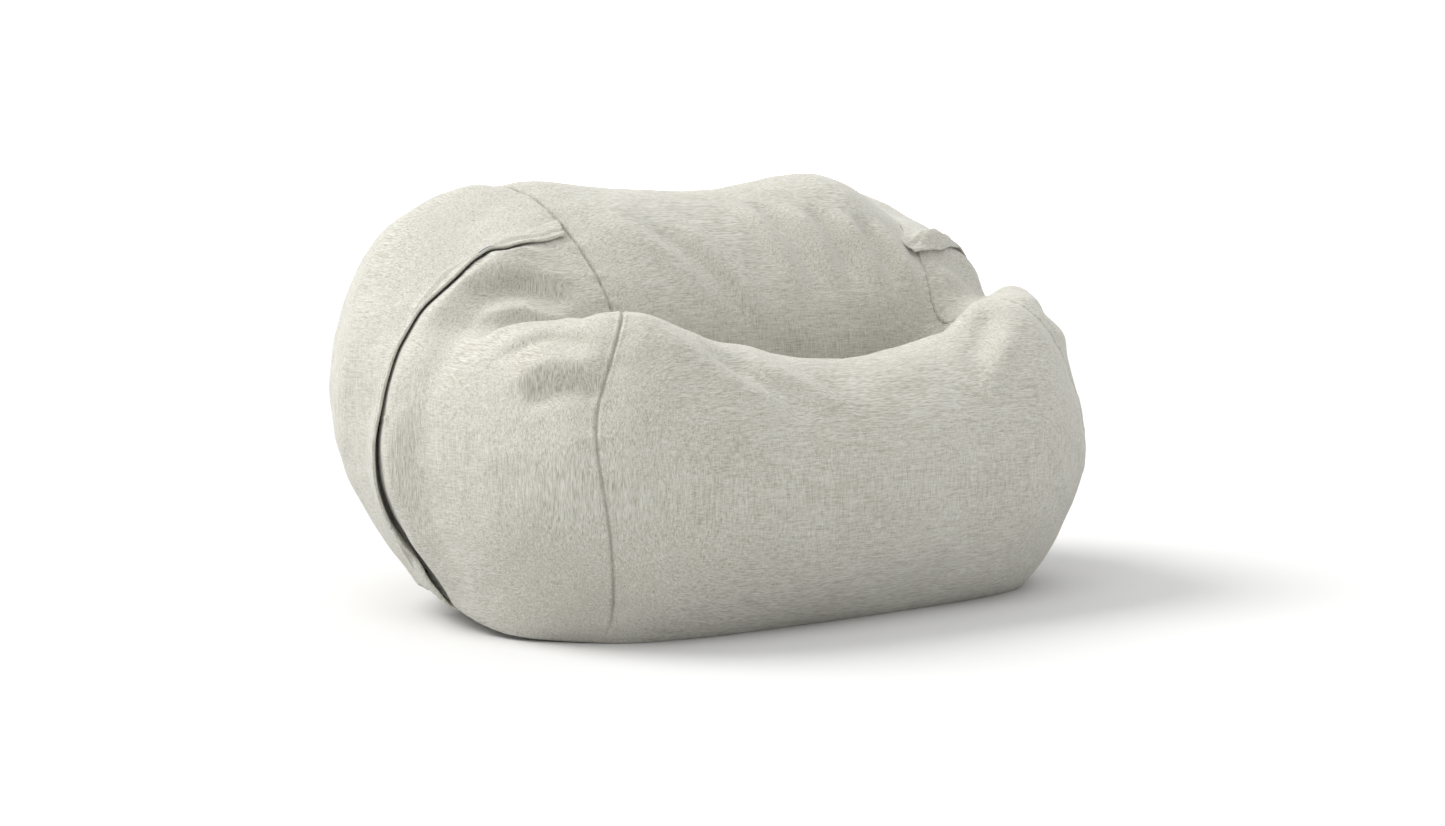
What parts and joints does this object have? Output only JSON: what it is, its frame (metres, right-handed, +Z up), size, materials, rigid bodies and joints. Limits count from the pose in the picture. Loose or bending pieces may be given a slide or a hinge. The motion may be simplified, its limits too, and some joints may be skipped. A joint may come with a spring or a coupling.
{
  "type": "bean bag chair",
  "caption": "Wide low bean bag chair: panelled linen cover with a front roll and a raised backrest, side zips under flaps, inner liner and foam fill.",
  "frame": {"origin": "middle of the footprint, on the floor", "axes": "+X to the right seen from the front, -Y the front, +Z up"},
  "size_m": [1.1322, 0.7766, 0.6155],
  "materials": {
    "cover_linen": "heathered linen weave",
    "base_fabric": "plain weave",
    "liner_fabric": "plain weave",
    "foam": "shredded foam",
    "label": "woven ribbon",
    "zip_tape": "woven tape",
    "zip_coil": "satin",
    "zip_metal": "satin nickel"
  },
  "bodies": {
    "cover": {"front_panel": "cover_linen", "side_panel_left": "cover_linen", "side_panel_right": "cover_linen", "rear_panel": "cover_linen", "base_panel": "base_fabric", "inner_liner": "liner_fabric", "foam_fill": "foam", "woven_label": "label", "flap_hem_left": "cover_linen", "zip_tape_front_left": "zip_tape", "zip_tape_rear_left": "zip_tape", "zip_coil_left": "zip_coil", "zip_top_stop_left": "zip_metal", "zip_end_stop_left": "zip_metal", "flap_hem_right": "cover_linen", "zip_tape_front_right": "zip_tape", "zip_tape_rear_right": "zip_tape", "zip_coil_right": "zip_coil", "zip_top_stop_right": "zip_metal", "zip_end_stop_right": "zip_metal"},
    "slider_left": {"zip_slider_left": "zip_metal"},
    "pull_left": {"zip_pull_left": "zip_metal"},
    "slider_right": {"zip_slider_right": "zip_metal"},
    "pull_right": {"zip_pull_right": "zip_metal"}
  },
  "joints": [
    {"name": "zip_left", "type": "hinge", "parent": "cover", "child": "slider_left", "pos_m": [-0.272, -0.037, 0.236], "axis": [-0.3305, -0.9438, 0], "range_deg": [0, 86]},
    {"name": "pull_left_swing", "type": "hinge", "parent": "slider_left", "child": "pull_left", "pos_m": [-0.41958, 0.01087, 0.48423], "axis": [0.0882, 0.9294, 0.3584], "range_deg": [0, 14]},
    {"name": "zip_right", "type": "hinge", "parent": "cover", "child": "slider_right", "pos_m": [0.272, -0.037, 0.236], "axis": [-0.3305, 0.9438, 0], "range_deg": [0, 86]},
    {"name": "pull_right_swing", "type": "hinge", "parent": "slider_right", "child": "pull_right", "pos_m": [0.41958, 0.01087, 0.48423], "axis": [0.0882, -0.9294, -0.3584], "range_deg": [0, 14]}
  ]
}
